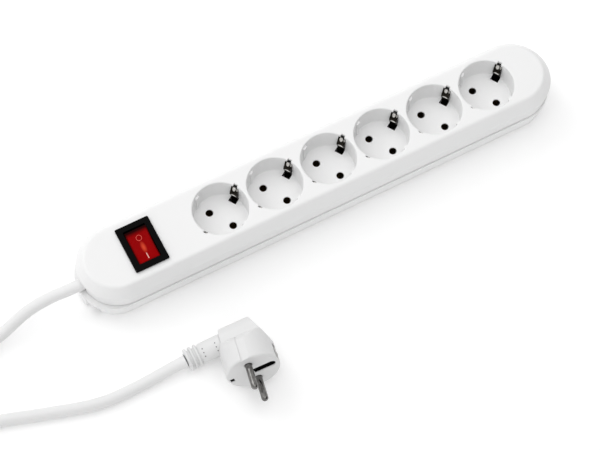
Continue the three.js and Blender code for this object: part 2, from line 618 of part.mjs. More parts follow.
SCREWS.forEach(([x, y], i) => add(`case_screw_${i + 1}`, makeScrew(3, 2.2, 1.45, 14), steel(), [x, y, 0.9]));
add('cord_clamp', makeCordClamp(), white());
[-9.5, 9.5].forEach((y, i) => {
  const place = [CLAMP_X, y, CORD_Z + 5.3];
  const screw = add(`clamp_screw_${i + 1}`, makeScrew(2.7, 1.8, 1.15, 13), steel(), place);
  screw.rotation.x = Math.PI;
});

add('cord_strip_side', tube(CORD_FROM_STRIP, CORD_RADIUS, 16, 8), whiteCord());
add('cord_coil', makeCoil(), whiteCord());
add('cord_plug_side', tube(CORD_TO_PLUG, CORD_RADIUS, 16, 8), whiteCord());
const coreColours = [0x7a4a22, 0x2b62b8, 0x7fae2e, 0x7a4a22, 0x2b62b8];
Object.entries(CORES).forEach(([name, points], i) => {
  add(name, tube(points, CORE_RADIUS, 10, 6), finish(coreColours[i], 0.5));
});

const plug = new THREE.Group();
plug.position.set(...PLUG_AT);
plug.rotation.set(PLUG_ROLL, PLUG_PITCH, PLUG_YAW, 'ZYX');
plug.add(mesh('plug_body', makePlugBody(), white()));
[-PIN_OFFSET, PIN_OFFSET].forEach((y, i) => {
  const pin = mesh(`plug_pin_${i + 1}`, makePlugPin(), nickel());
  pin.position.y = y;
  plug.add(pin);
});
plug.add(mesh('plug_earth_strip', makePlugStrip(), nickel()));
[1, -1].forEach((side, i) => plug.add(mesh(`plug_earth_spring_${i + 1}`, makePlugSpring(side), nickel())));
const boot = mesh('plug_boot', makeBoot(), white());
boot.position.set(HOOD_END + SPIGOT, 0, NECK_Z);
boot.rotation.set(-PLUG_ROLL + BOOT_LEAN, -Math.PI / 2, 0, 'XYZ');
plug.add(boot);
strip.add(plug);

const powerStrip = new THREE.Group();
powerStrip.add(strip);
export default powerStrip;
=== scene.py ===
"""Looks of a six-way power strip with a lit rocker switch, its lead and its angled plug.

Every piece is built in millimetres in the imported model's frame and scaled to metres when it is done.
"""

import json
import math

import bpy
from mathutils import Euler, Matrix, Vector


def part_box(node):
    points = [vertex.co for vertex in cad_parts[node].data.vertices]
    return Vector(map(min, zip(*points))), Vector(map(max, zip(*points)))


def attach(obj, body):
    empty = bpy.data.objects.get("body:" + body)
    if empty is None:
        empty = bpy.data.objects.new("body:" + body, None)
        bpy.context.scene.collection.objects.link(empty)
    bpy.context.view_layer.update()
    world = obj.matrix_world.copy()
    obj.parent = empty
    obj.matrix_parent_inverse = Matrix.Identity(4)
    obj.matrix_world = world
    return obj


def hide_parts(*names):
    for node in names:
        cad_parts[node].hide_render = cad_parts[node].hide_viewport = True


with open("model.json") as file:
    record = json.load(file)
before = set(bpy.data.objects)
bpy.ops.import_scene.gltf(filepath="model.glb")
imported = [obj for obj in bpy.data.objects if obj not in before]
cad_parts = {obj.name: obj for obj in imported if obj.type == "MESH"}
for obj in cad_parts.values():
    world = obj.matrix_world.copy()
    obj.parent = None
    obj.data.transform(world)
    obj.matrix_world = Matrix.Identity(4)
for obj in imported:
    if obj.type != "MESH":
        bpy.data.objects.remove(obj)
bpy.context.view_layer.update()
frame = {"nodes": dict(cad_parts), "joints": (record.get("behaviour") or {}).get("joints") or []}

MM = 0.001
nodes = frame["nodes"]


def box(node):
    """Lowest and highest corner of a CAD node, in millimetres."""
    low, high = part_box(node)
    return low / MM, high / MM


def middle(node):
    low, high = box(node)
    return (low + high) / 2


# ---------------------------------------------------------------- sizes, in millimetres
# Cover, read from the frame: straight sides with half-round ends
cover_low, cover_high = box("top_cover")
TOP = cover_high.z
COVER_RADIUS = cover_high.y
COVER_LEFT = cover_low.x + COVER_RADIUS
COVER_RIGHT = cover_high.x - COVER_RADIUS
TOP_RADIUS = 22.4
BEVEL_FOOT = TOP - 8.2
COVER_EDGE = 30.3
SKIRT_RADIUS = 26.5
WALL = 1.8

# Tray
TRAY_LEFT = COVER_LEFT - 3
LEDGE = 18.0
LEDGE_RADIUS = 27.6
FOOT_RADIUS = 24.1

# Wells, in round inserts under the cover's mouths
SOCKET_XS = [middle(f"earth_clip_{i}").x for i in range(1, 7)]
WELL_RADIUS = 19.5
WELL_FLOOR = TOP - 17.5
PIN_OFFSET = 9.5
PIN_ANGLE = math.radians(123.3)
EARTH_ANGLE = PIN_ANGLE - math.pi / 2
PLATE = 2.3                  # thickness of the cover's top
CUP_RADIUS = 20.7
FOOT_ANGLE = math.radians(100)

# Switch
SWITCH_X = middle("switch_housing").x
PIVOT = Vector(frame["joints"][0]["pos_m"]) / MM
ROCKER_TILT = math.radians(9)

# Plug, in its own frame: pins along +Z, face at z = 0, lead leaving towards -X
PLUG_AT = Vector((-104.95, -110, 22.4))
PLUG_TURN = Euler([math.radians(a) for a in (78.3, -17.9, -8.5)])
PLUG_PLACE = Matrix.Translation(PLUG_AT) @ PLUG_TURN.to_matrix().to_4x4()
PLUG_RADIUS = 18.8
PLUG_BACK = -40.0
HOOD_RADIUS = 8.6
HOOD_END = -14.2
NECK_Z = PLUG_BACK + 9.8     # axis of the sleeve

# Lead
CORD_RADIUS = 4.2
CORD_EXIT = Vector((box("base_tray")[0].x, 0, 22.5))
COIL_CENTRE = Vector((-335.95, -19, 0))
COIL_OUTER = 54.7            # radius of the outermost turn's middle
COIL_TURNS = 3.741
COIL_START = math.radians(36.3)
TIE_ANGLE = math.radians(216.3)
TIE_LIFT = 0.75              # the coil stands this much higher on the band of its tie
# From the clamp out through the end wall and down to the top of the coil
CORD_FROM_STRIP = [
    (-155.75, 0, 22.5), (-169.75, 0, 22.5), (-183.45, 0, 22.5), (-192.75, 0.6, 21.8), (-201.75, 1.6, 20.3),
    (-211.75, 2, 17.9), (-221.25, 1.6, 15.2), (-232.75, -0.4, 11.4), (-244.25, -3.2, 8.6),
    (-254.75, -4.5, 7.9), (-264.75, -3.3, 9.3), (-274.75, 0.1, 11.6), (-281.5, 4.3, 12.5),
]
# From the bottom of the coil along the floor into the plug's sleeve
CORD_TO_PLUG = [
    (-283.25, -55.6, 4.3), (-275.75, -55.9, 4.3), (-268.75, -57.4, 4.3), (-256.75, -61.2, 4.3),
    (-244.75, -65.2, 4.3), (-231.75, -69.3, 4.3), (-219.75, -73, 4.3), (-206.75, -76.2, 4.3),
    (-193.75, -77.8, 4.3), (-181.75, -78, 4.3), (-170.75, -77.8, 4.5), (-160.75, -77.5, 5.5),
    (-150.75, -77.3, 6.9), (-139.95, -77.3, 7.9),
]

# ---------------------------------------------------------------- camera
VIEW_TARGET = Vector((-31.55, -35.87, 40))
VIEW_DISTANCE = 1461.9
VIEW_AZIMUTH = math.radians(-28.383)
VIEW_ELEVATION = math.radians(65.3645)
VIEW_ROLL = math.radians(0.98968)


def make_camera():
    level = math.cos(VIEW_ELEVATION)
    back = Vector((math.sin(VIEW_AZIMUTH) * level, -math.cos(VIEW_AZIMUTH) * level, math.sin(VIEW_ELEVATION)))
    turn = back.to_track_quat("Z", "Y").to_matrix() @ Matrix.Rotation(VIEW_ROLL, 3, "Z")
    camera = bpy.data.objects.new("camera", bpy.data.cameras.new("camera"))
    bpy.context.scene.collection.objects.link(camera)
    camera.matrix_world = Matrix.Translation((VIEW_TARGET + back * VIEW_DISTANCE) * MM) @ turn.to_4x4()
    camera.data.sensor_width = 36
    camera.data.lens = 129
    camera.data.clip_end = 20
    bpy.context.scene.camera = camera


# ---------------------------------------------------------------- mesh tools
def piece_from(points, faces, name="draft"):
    mesh = bpy.data.meshes.new(name)
    mesh.from_pydata([tuple(p) for p in points], [], faces)
    mesh.validate()
    made = bpy.data.objects.new(name, mesh)
    bpy.context.scene.collection.objects.link(made)
    return made


def arc(centre, radius, start, end, steps):
    """Points on an arc, angles in degrees."""
    angles = [math.radians(start + (end - start) * i / steps) for i in range(steps + 1)]
    return [(centre[0] + radius * math.cos(a), centre[1] + radius * math.sin(a)) for a in angles]


def rounded(corners, steps=5):
    """An outline of (x, y) or (x, y, radius) corners, each with a radius turned into an arc."""
    points = []
    for i, corner in enumerate(corners):
        if len(corner) == 2:
            points.append(corner)
            continue
        here = Vector(corner[:2])
        into = (Vector(corners[i - 1][:2]) - here).normalized()
        out = (Vector(corners[(i + 1) % len(corners)][:2]) - here).normalized()
        half = into.angle(out) / 2
        centre = here + (into + out).normalized() * corner[2] / math.sin(half)
        start = here + into * corner[2] / math.tan(half) - centre
        end = here + out * corner[2] / math.tan(half) - centre
        first = math.atan2(start.y, start.x)
        sweep = (math.atan2(end.y, end.x) - first + math.pi) % (2 * math.pi) - math.pi
        points += [(centre.x + corner[2] * math.cos(first + sweep * k / steps),
                    centre.y + corner[2] * math.sin(first + sweep * k / steps)) for k in range(steps + 1)]
    return points


def swept(profile, left=0.0, right=0.0, segments=96, ring=False):
    """A profile of (radius, z) turned about Z, and pulled apart along X from left to right.

    The two ends are closed by flat caps, or joined to each other where ring is true.
    """
    half = segments // 2
    around = [(math.pi * (i / half - 0.5), right) for i in range(half + 1)]
    around += [(math.pi * (i / half + 0.5), left) for i in range(half + 1)]
    if left == right:
        around = [(2 * math.pi * i / segments, left) for i in range(segments)]
    count = len(around)
    points = [(shift + r * math.cos(a), r * math.sin(a), z) for r, z in profile for a, shift in around]
    rows = len(profile)
    faces = [
        (i * count + j, i * count + (j + 1) % count,
         (i + 1) % rows * count + (j + 1) % count, (i + 1) % rows * count + j)
        for i in range(rows if ring else rows - 1) for j in range(count)
    ]
    if not ring:
        faces += [tuple(reversed(range(count))), tuple(range((rows - 1) * count, rows * count))]
    return outward(piece_from(points, faces))


def prism(outline, low, high):
    """An outline in X-Y given a height."""
    count = len(outline)
    points = [(x, y, z) for z in (low, high) for x, y in outline]
    faces = [(i, (i + 1) % count, count + (i + 1) % count, count + i) for i in range(count)]
    faces += [tuple(reversed(range(count))), tuple(range(count, 2 * count))]
    return outward(piece_from(points, faces))


def slab(centre, size, angle=0.0):
    """A plain block used for cutting and joining."""
    x, y = size[0] / 2, size[1] / 2
    made = prism([(-x, -y), (x, -y), (x, y), (-x, y)], -size[2] / 2, size[2] / 2)
    return moved(made, Matrix.Translation(centre) @ Matrix.Rotation(angle, 4, "Z"))


# Turns that stand a flat outline up: as seen from the side, and as seen from the end
SEEN_FROM_SIDE = Matrix(((1, 0, 0, 0), (0, 0, -1, 0), (0, 1, 0, 0), (0, 0, 0, 1)))
SEEN_FROM_END = Matrix(((0, 0, 1, 0), (1, 0, 0, 0), (0, 1, 0, 0), (0, 0, 0, 1)))


def outward(made):
    """Turns a closed mesh's faces outwards."""
    mesh = made.data
    mesh.calc_loop_triangles()
    points = [v.co for v in mesh.vertices]
    volume = sum(points[a].dot(points[b].cross(points[c]))
                 for a, b, c in (t.vertices for t in mesh.loop_triangles))
    if volume < 0:
        mesh.flip_normals()
    return made


def moved(made, matrix):
    made.data.transform(matrix)
    if matrix.determinant() < 0:
        made.data.flip_normals()
    return made


def at(made, x=0.0, y=0.0, z=0.0):
    return moved(made, Matrix.Translation((x, y, z)))


def turned(made, angle, axis="Z"):
    return moved(made, Matrix.Rotation(angle, 4, axis))


def rod_along_x(radius, start, end, segments):
    return turned(swept([(radius, start), (radius, end)], segments=segments), math.pi / 2, "Y")


def baked(made):
    """Applies the piece's modifiers."""
    graph = bpy.context.evaluated_depsgraph_get()
    mesh = bpy.data.meshes.new_from_object(made.evaluated_get(graph))
    made.modifiers.clear()
    old, made.data = made.data, mesh
    bpy.data.meshes.remove(old)
    return made


def combined(operation, body, *tools):
    for tool in tools:
        modifier = body.modifiers.new("boolean", "BOOLEAN")
        modifier.operation = operation
        modifier.solver = "MANIFOLD"
        modifier.object = tool
        baked(body)
        spare = tool.data
        bpy.data.objects.remove(tool)
        bpy.data.meshes.remove(spare)
    return body


def joined(*parts):
    return combined("UNION", *parts)


def cut(body, *tools):
    return combined("DIFFERENCE", body, joined(*tools))


def shared(*parts):
    return combined("INTERSECT", *parts)


def softened(made, voxel, rounds, factor=0.5):
    """Rebuilds a body in small even faces and smooths it, which rounds its edges as a mould does."""
    remesh = made.modifiers.new("remesh", "REMESH")
    remesh.mode = "VOXEL"
    remesh.voxel_size = voxel
    smooth = made.modifiers.new("smooth", "SMOOTH")
    smooth.factor = factor
    smooth.iterations = rounds
    return baked(made)


def bent_strip(line, width, thickness, press=None, across=8):
    """Sheet metal along a line of (x, z) points, its width across Y, with press pushing parts of it out."""
    points = []
    count = len(line)
    for i, (x, z) in enumerate(line):
        before, after = Vector(line[max(i - 1, 0)]), Vector(line[min(i + 1, count - 1)])
        along = (after - before).normalized()
        normal = Vector((-along.y, along.x))
        half = (width(i / (count - 1)) if callable(width) else width) / 2
        columns = [-half + 2 * half * k / across for k in range(across + 1)]
        for side, order in ((1, columns), (-1, columns[::-1])):
            for y in order:
                push = side * thickness / 2 + (press(z, y) if press else 0)
                points.append((x + normal.x * push, y, z + normal.y * push))
    ring = 2 * (across + 1)
    faces = [(i * ring + j, i * ring + (j + 1) % ring, (i + 1) * ring + (j + 1) % ring, (i + 1) * ring + j)
             for i in range(count - 1) for j in range(ring)]
    faces += [tuple(reversed(range(ring))), tuple(range((count - 1) * ring, count * ring))]
    return outward(piece_from(points, faces))


def finished(made, name, body, material, replaces=(), sharp=32, place=None):
    """Names a piece, scales it to metres, and gives it its body, finish and shading."""
    made.name = made.data.name = name
    moved(made, Matrix.Scale(MM, 4))
    made.data.materials.clear()
    made.data.materials.append(material)
    made.data.shade_smooth()
    made.data.set_sharp_from_angle(angle=math.radians(sharp))
    normals = made.modifiers.new("normals", "WEIGHTED_NORMAL")
    normals.keep_sharp = True
    if place:
        turn, x = place
        made.matrix_world = Matrix.Translation((x * MM, 0, 0)) @ Matrix.Rotation(turn, 4, "Z")
    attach(made, body)
    if replaces:
        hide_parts(*replaces)
    return made


def twin(made, name="draft"):
    """A second piece with the same mesh."""
    copy = bpy.data.objects.new(name, made.data.copy())
    bpy.context.scene.collection.objects.link(copy)
    return copy


# ---------------------------------------------------------------- materials
def shader_of(name):
    made = bpy.data.materials.new(name)
    made.use_nodes = True
    return made, made.node_tree, made.node_tree.nodes["Principled BSDF"]


def cloud(tree, scale, detail=2.0, stretch=None):
    """Noise in the piece's own space, scale in features per metre."""
    place = tree.nodes.new("ShaderNodeTexCoord").outputs["Object"]
    if stretch:
        mapping = tree.nodes.new("ShaderNodeMapping")
        mapping.inputs["Scale"].default_value = stretch
        tree.links.new(place, mapping.inputs["Vector"])
        place = mapping.outputs["Vector"]
    texture = tree.nodes.new("ShaderNodeTexNoise")
    texture.inputs["Scale"].default_value = scale
    texture.inputs["Detail"].default_value = detail
    tree.links.new(place, texture.inputs["Vector"])
    return texture.outputs["Fac"]


def ranged(tree, value, low, high, start=0.35, end=0.65):
    """Maps a value's middle range to low..high."""
    node = tree.nodes.new("ShaderNodeMapRange")
    for socket, number in zip(("From Min", "From Max", "To Min", "To Max"), (start, end, low, high)):
        node.inputs[socket].default_value = number
    tree.links.new(value, node.inputs["Value"])
    return node.outputs["Result"]


def blended(tree, share, first, second):
    """Colour between first and second; each is a colour or a socket."""
    node = tree.nodes.new("ShaderNodeMix")
    node.data_type = "RGBA"
    tree.links.new(share, node.inputs["Factor"])
    for socket, colour in ((node.inputs[6], first), (node.inputs[7], second)):
        if isinstance(colour, tuple):
            socket.default_value = (*colour, 1)
        else:
            tree.links.new(colour, socket)
    return node.outputs[2]


def bumped(tree, shader, layers):
    """Stacks bump layers of (height socket, depth in millimetres, strength)."""
    normal = None
    for height, depth, strength in layers:
        node = tree.nodes.new("ShaderNodeBump")
        node.inputs["Distance"].default_value = depth * MM
        node.inputs["Strength"].default_value = strength
        tree.links.new(height, node.inputs["Height"])
        if normal:
            tree.links.new(normal, node.inputs["Normal"])
        normal = node.outputs["Normal"]
    tree.links.new(normal, shader.inputs["Normal"])


def plastic(name, colour, roughness, grain=2200, grain_depth=0.02, shade=0.97, specular=0.5):
    """Moulded plastic: fine spark-eroded grain, faint flow shading and slight waviness."""
    made, tree, shader = shader_of(name)
    darker = tuple(c * shade for c in colour)
    tree.links.new(blended(tree, cloud(tree, 28, 3), darker, colour), shader.inputs["Base Color"])
    tree.links.new(ranged(tree, cloud(tree, 310, 4), roughness - 0.05, roughness + 0.06),
                   shader.inputs["Roughness"])
    bumped(tree, shader, [(cloud(tree, 45, 1), 0.25, 0.12), (cloud(tree, grain, 3), grain_depth, 0.5)])
    shader.inputs["Specular IOR Level"].default_value = specular
    return made


def metal(name, colour, worn, roughness, brush=(1, 1, 1)):
    """Plated or bare metal: cloudy tarnish, fine drawing marks and a brighter worn tone."""
    made, tree, shader = shader_of(name)
    shader.inputs["Metallic"].default_value = 1
    tree.links.new(blended(tree, ranged(tree, cloud(tree, 420, 4), 0, 1), colour, worn),
                   shader.inputs["Base Color"])
    tree.links.new(ranged(tree, cloud(tree, 900, 3, brush), roughness - 0.05, roughness + 0.08),
                   shader.inputs["Roughness"])
    bumped(tree, shader, [(cloud(tree, 1500, 2, brush), 0.01, 0.5)])
    return made


def spot(tree, centre, size):
    """One at centre, falling to nothing size away from it; millimetres, in the piece's own space."""
    mapping = tree.nodes.new("ShaderNodeMapping")
    mapping.vector_type = "TEXTURE"
    mapping.inputs["Location"].default_value = Vector(centre) * MM
    mapping.inputs["Scale"].default_value = Vector(size) * MM
    tree.links.new(tree.nodes.new("ShaderNodeTexCoord").outputs["Object"], mapping.inputs["Vector"])
    gradient = tree.nodes.new("ShaderNodeTexGradient")
    gradient.gradient_type = "SPHERICAL"
    tree.links.new(mapping.outputs["Vector"], gradient.inputs["Vector"])
    return gradient.outputs["Fac"]


def folded(tree, operation, first, second):
    """Two values joined by a math operation."""
    node = tree.nodes.new("ShaderNodeMath")
    node.operation = operation
    tree.links.new(first, node.inputs[0])
    tree.links.new(second, node.inputs[1])
    return node.outputs["Value"]


def glowing_red():
    """Translucent red plastic with painted shade darkening it towards its four edges, and the lamp's glow
    showing near its middle.
    """
    made, tree, shader = shader_of("red_rocker")
    red = blended(tree, cloud(tree, 160, 2), (0.26, 0.0004, 0.0012), (0.33, 0.0008, 0.0016))
    place = tree.nodes.new("ShaderNodeTexCoord").outputs["Object"]
    mapping = tree.nodes.new("ShaderNodeMapping")
    mapping.vector_type = "TEXTURE"
    mapping.inputs["Location"].default_value = PIVOT * MM
    mapping.inputs["Rotation"].default_value = (ROCKER_TILT, 0, 0)
    mapping.inputs["Scale"].default_value = (MM, MM, MM)
    tree.links.new(place, mapping.inputs["Vector"])
    parts = tree.nodes.new("ShaderNodeSeparateXYZ")
    tree.links.new(mapping.outputs["Vector"], parts.inputs["Vector"])
    lit = None
    # Painted shade: lit is one over the middle of the face and falls to nothing at its edges, where the red
    # turns near black.
    for axis, start, end in (("X", 8.3, 6.5), ("X", -8.3, -6.5), ("Y", 10.9, 8.2), ("Y", -12.6, -11)):
        share = ranged(tree, parts.outputs[axis], 0, 1, start, end)
        lit = folded(tree, "MULTIPLY", lit, share) if lit else share
    tree.links.new(blended(tree, lit, (0.02, 0.0003, 0.0005), red), shader.inputs["Base Color"])
    tree.links.new(ranged(tree, cloud(tree, 500, 3), 0.18, 0.26), shader.inputs["Roughness"])
    shader.inputs["Specular IOR Level"].default_value = 0.02
    bumped(tree, shader, [(cloud(tree, 1800, 2), 0.012, 0.3)])
    glow = spot(tree, PIVOT + Vector((0.2, -2.2, 5)), (2.0, 4.8, 4))
    tree.links.new(ranged(tree, glow, 0, 0.34, 0, 0.75), shader.inputs["Emission Strength"])
    shader.inputs["Emission Color"].default_value = (1, 0.17, 0.07, 1)
    return made


def sprung_contact():
    """Spring metal painted near black as shade, with painted highlights on the upper pad, on the crest and at
    the tip of each arm.
    """
    made, tree, shader = shader_of("earth_contact")
    shader.inputs["Metallic"].default_value = 1
    painted_highlight = None
    # Painted highlights: bright spots on the upper pad, on the crest and at the tip of each arm.
    for side in (1, -1):
        pad = ranged(tree, spot(tree, (side * 19, 0.4 * side, 35.7), (2.4, 1.5, 2.5)), 0, 1, 0.08, 0.3)
        crest = ranged(tree, spot(tree, (side * 16.9, -0.4 * side, 30.1), (2, 2.6, 1.3)), 0, 1, 0.08, 0.3)
        tip = ranged(tree, spot(tree, (side * 19, -2.1 * side, 36.2), (2, 0.9, 1.5)), 0, 0.6, 0.05, 0.3)
        for share in (pad, crest, tip):
            painted_highlight = folded(tree, "MAXIMUM", painted_highlight, share) if painted_highlight else share
    # Painted shade: the spring's base colour is near black.
    dark = blended(tree, cloud(tree, 500, 3), (0.012, 0.01, 0.008), (0.03, 0.026, 0.02))
    tree.links.new(blended(tree, painted_highlight, dark, (0.93, 0.91, 0.87)), shader.inputs["Base Color"])
    tree.links.new(ranged(tree, cloud(tree, 900, 3), 0.28, 0.4), shader.inputs["Roughness"])
    bumped(tree, shader, [(cloud(tree, 1500, 2), 0.01, 0.4)])
    return made


def glass(name, colour, glow):
    made, tree, shader = shader_of(name)
    tree.links.new(blended(tree, cloud(tree, 600, 2), colour, tuple(min(1, c * 1.3) for c in colour)),
                   shader.inputs["Base Color"])
    tree.links.new(ranged(tree, cloud(tree, 300, 2), 0.05, 0.12), shader.inputs["Roughness"])
    shader.inputs["Emission Color"].default_value = (1, 0.25, 0.06, 1)
    shader.inputs["Emission Strength"].default_value = glow
    return made


def striped_core():
    """Green and yellow insulation of the earth core."""
    made, tree, shader = shader_of("core_green_yellow")
    place = tree.nodes.new("ShaderNodeTexCoord").outputs["Object"]
    wave = tree.nodes.new("ShaderNodeTexWave")
    wave.inputs["Scale"].default_value = 120
    wave.inputs["Distortion"].default_value = 0.5
    tree.links.new(place, wave.inputs["Vector"])
    tree.links.new(blended(tree, ranged(tree, wave.outputs["Fac"], 0, 1, 0.45, 0.55),
                           (0.05, 0.3, 0.03), (0.75, 0.6, 0.03)), shader.inputs["Base Color"])
    tree.links.new(ranged(tree, cloud(tree, 400, 2), 0.35, 0.5), shader.inputs["Roughness"])
    return made


WHITE = plastic("white_housing", (0.88, 0.88, 0.88), 0.36, specular=0.35)
WHITE_PLUG = plastic("white_plug", (0.76, 0.76, 0.76), 0.42, grain=1600, grain_depth=0.03, specular=0.35)
WHITE_CORD = plastic("white_cord", (0.82, 0.82, 0.82), 0.45, grain=900, grain_depth=0.03, specular=0.35)
BLACK = plastic("black_bezel", (0.004, 0.004, 0.004), 0.3, shade=0.8, specular=0.02)
# Near black for the sheets of painted shade in the earth slots and in the plug's socket and hole, and for the
# dark dots on the sleeve.
SHADE_AND_DOT_BLACK = plastic("black_shade_and_dots", (0.004, 0.004, 0.004), 0.6, shade=0.8, specular=0.1)
RING_MARK = plastic("off_mark_print", (0.85, 0.13, 0.1), 0.4, specular=0.1)
BAR_MARK = plastic("on_mark_print", (0.8, 0.42, 0.36), 0.4, specular=0.1)
RED = glowing_red()
LAMP = glass("lamp_glass", (0.9, 0.5, 0.3), 2.0)
BRASS = metal("brass_contacts", (0.16, 0.1, 0.035), (0.3, 0.2, 0.08), 0.42)
# Painted shade: the base is far darker than bright nickel, standing in for the dark reflections on the pins.
NICKEL = metal("nickel_contacts", (0.15, 0.146, 0.142), (0.24, 0.235, 0.23), 0.12, (1, 1, 0.1))
EARTH_METAL = sprung_contact()
STEEL = metal("steel_screws", (0.45, 0.45, 0.46), (0.6, 0.6, 0.6), 0.32)
CORE_BROWN = plastic("core_brown", (0.16, 0.06, 0.02), 0.45)
CORE_BLUE = plastic("core_blue", (0.02, 0.12, 0.45), 0.45)
CORE_GREEN_YELLOW = striped_core()


# ---------------------------------------------------------------- cover and socket inserts
def make_cover():
    shell = swept(rounded([
        (SKIRT_RADIUS, LEDGE + 0.3), (SKIRT_RADIUS, COVER_EDGE, 0.3), (COVER_RADIUS, COVER_EDGE, 0.5),
        (COVER_RADIUS, BEVEL_FOOT, 2.4), (TOP_RADIUS, TOP, 3.2), (TOP_RADIUS - 8, TOP),
    ]), COVER_LEFT, COVER_RIGHT, 128)
    inside = swept([
        (SKIRT_RADIUS - WALL, LEDGE - 1), (SKIRT_RADIUS - WALL, BEVEL_FOOT), (TOP_RADIUS - WALL, TOP - PLATE),
    ], COVER_LEFT, COVER_RIGHT, 96)
    tools = [make_mouth(x) for x in SOCKET_XS]
    for x in SOCKET_XS:
        for half in (0, math.pi):
            notch = slab((WELL_RADIUS + 0.4, 0, TOP - 2.2), (2.6, 3.2, 5))
            tools.append(at(turned(notch, EARTH_ANGLE + half), x))
    tools.append(slab((SWITCH_X, 0, TOP), (22.2, 31.4, 12)))
    passage = rod_along_x(CORD_RADIUS + 0.3, -12, 12, 48)
    tools.append(at(passage, CORD_EXIT.x + 4, 0, CORD_EXIT.z))
    tools.append(slab((CORD_EXIT.x + 4, 0, LEDGE), (24, 2 * CORD_RADIUS + 0.6, 2 * (CORD_EXIT.z - LEDGE))))
    return cut(cut(shell, inside), *tools)


def make_mouth(x):
    """Cutter for one mouth of the cover, with a rounded lip."""
    lip = 0.9
    profile = [(WELL_RADIUS - 0.1, TOP - 6), (WELL_RADIUS, TOP - lip)]
    profile += arc((WELL_RADIUS + lip, TOP - lip), lip, 180, 90, 6)[1:]
    profile.append((WELL_RADIUS + lip, TOP + 1))
    return at(swept(profile, segments=128), x)


def make_cup():
    """One socket insert about its own middle: well, guide ribs, pin holes, clip slots and feet."""
    rim = TOP - PLATE
    cup = swept(rounded([(CUP_RADIUS - 4, WELL_FLOOR - 2.5), (CUP_RADIUS, WELL_FLOOR - 2.5, 0.6),
                         (CUP_RADIUS, rim)]), segments=96)
    well = swept(rounded([(WELL_RADIUS - 6, WELL_FLOOR), (WELL_RADIUS - 0.5, WELL_FLOOR, 0.9),
                          (WELL_RADIUS - 0.1, rim + 1)]), segments=128)
    feet, ribs, tools = [], [], []
    for half in (0, math.pi):
        foot = swept([(1.9, box("socket_insert_1")[0].z), (1.9, WELL_FLOOR - 1.5)], segments=24)
        feet.append(turned(at(foot, 17), FOOT_ANGLE + half))
        outline = rounded([(WELL_RADIUS - 1.5, -1.5, 0.5), (WELL_RADIUS + 1, -1.8), (WELL_RADIUS + 1, 1.8),
                           (WELL_RADIUS - 1.5, 1.5, 0.5)])
        ribs.append(turned(prism(outline, WELL_FLOOR - 0.5, rim), PIN_ANGLE + half))
        hole = swept([(4.4, WELL_FLOOR - 4), (4.4, WELL_FLOOR - 0.9), (2.65, WELL_FLOOR - 0.8),
                      (2.65, WELL_FLOOR - 0.25), (2.9, WELL_FLOOR + 0.02),
                      (2.9, WELL_FLOOR + 1)], segments=48)
        tools.append(turned(at(hole, PIN_OFFSET), PIN_ANGLE + half))
        tools.append(turned(slab((18.2, 0, rim - 8), (7.2, 6, 20)), EARTH_ANGLE + half))
    return cut(joined(cut(joined(cup, *feet), well), *ribs), *tools)


# ---------------------------------------------------------------- tray
SCREW_PLACES = [(middle(f"case_screw_{i}").x, middle(f"case_screw_{i}").y) for i in range(1, 7)]


def make_slot_shade_sheets():
    """Thin black sheets on the side walls of the well's two earth slots, in its wall and under its floor:
    painted shade in the slots.
    """
    rim = TOP - PLATE
    walls = []
    for half in (0, math.pi):
        for side in (1, -1):
            in_wall = slab((WELL_RADIUS + 0.65, side * 2.93, rim - 4.6), (0.9, 0.1, 8.2))
            under_floor = slab((17.7, side * 2.93, WELL_FLOOR - 1.4), (5.9, 0.1, 2.0))
            walls += [turned(part, EARTH_ANGLE + half) for part in (in_wall, under_floor)]
    return joined(*walls)


def make_tray():
    shell = swept(rounded([
        (FOOT_RADIUS - 4, 0), (FOOT_RADIUS, 0, 0.9),
        (LEDGE_RADIUS, LEDGE - 1.4, 2), (LEDGE_RADIUS, LEDGE, 0.4),
        (LEDGE_RADIUS - 5, LEDGE),
    ]), TRAY_LEFT, COVER_RIGHT, 128)
    inside = swept([(FOOT_RADIUS - 2, 2.4), (LEDGE_RADIUS - 2.6, LEDGE - 3.6),
                    (LEDGE_RADIUS - 2.6, LEDGE + 1)],
                   TRAY_LEFT, COVER_RIGHT, 96)
    shelf = swept([(LEDGE_RADIUS - 1, LEDGE - 2.4), (LEDGE_RADIUS - 1, LEDGE)], TRAY_LEFT, COVER_RIGHT, 96)
    tongue = swept([(SKIRT_RADIUS - 2.1, LEDGE - 1), (SKIRT_RADIUS - 2.1, LEDGE + 3)],
                   COVER_LEFT, COVER_RIGHT, 96)
    core = swept([(SKIRT_RADIUS - 3.5, LEDGE - 3), (SKIRT_RADIUS - 3.5, LEDGE + 4)],
                 COVER_LEFT, COVER_RIGHT, 96)
    rim = cut(joined(shelf, tongue), core)
    posts = [at(swept([(4.6, 1), (4.6, 5.9)], segments=32), x, y) for x, y in SCREW_PLACES]
    saddle = slab((CORD_EXIT.x + 21.7, 0, CORD_EXIT.z / 2), (8, 26, CORD_EXIT.z - 1))
    end_block = shared(
        swept([(LEDGE_RADIUS - 1, 1), (LEDGE_RADIUS - 1, LEDGE)], TRAY_LEFT, COVER_RIGHT, 96),
        slab((CORD_EXIT.x, 0, 10), (14, 14, 30)))
    body = joined(cut(shell, inside), rim, *posts, saddle, end_block)

    heads = [at(swept([(1.75, 8), (1.75, 3.4), (3.3, 3.4), (3.3, 0.4), (3.8, -1)], segments=32), x, y)
             for x, y in SCREW_PLACES]
    cord_way = rod_along_x(CORD_RADIUS + 0.3, -18, 18, 48)
    at(cord_way, CORD_EXIT.x + 12, 0, CORD_EXIT.z)
    slot = prism(rounded([(-8, -1.9), (4, -1.9), (4, 1.9), (-8, 1.9)]), -1, 8)
    at(slot, CORD_EXIT.x + 3, -13.5)
    keyhole = at(swept([(2.6, -1), (2.6, 8)], segments=32), CORD_EXIT.x + 7.7, -13.5)
    plate = prism(rounded([(-42, -14, 2), (42, -14, 2), (42, 14, 2), (-42, 14, 2)]), -1, 0.4)
    at(plate, 13.25)
    return cut(body, *heads, cord_way, slot, keyhole, plate)


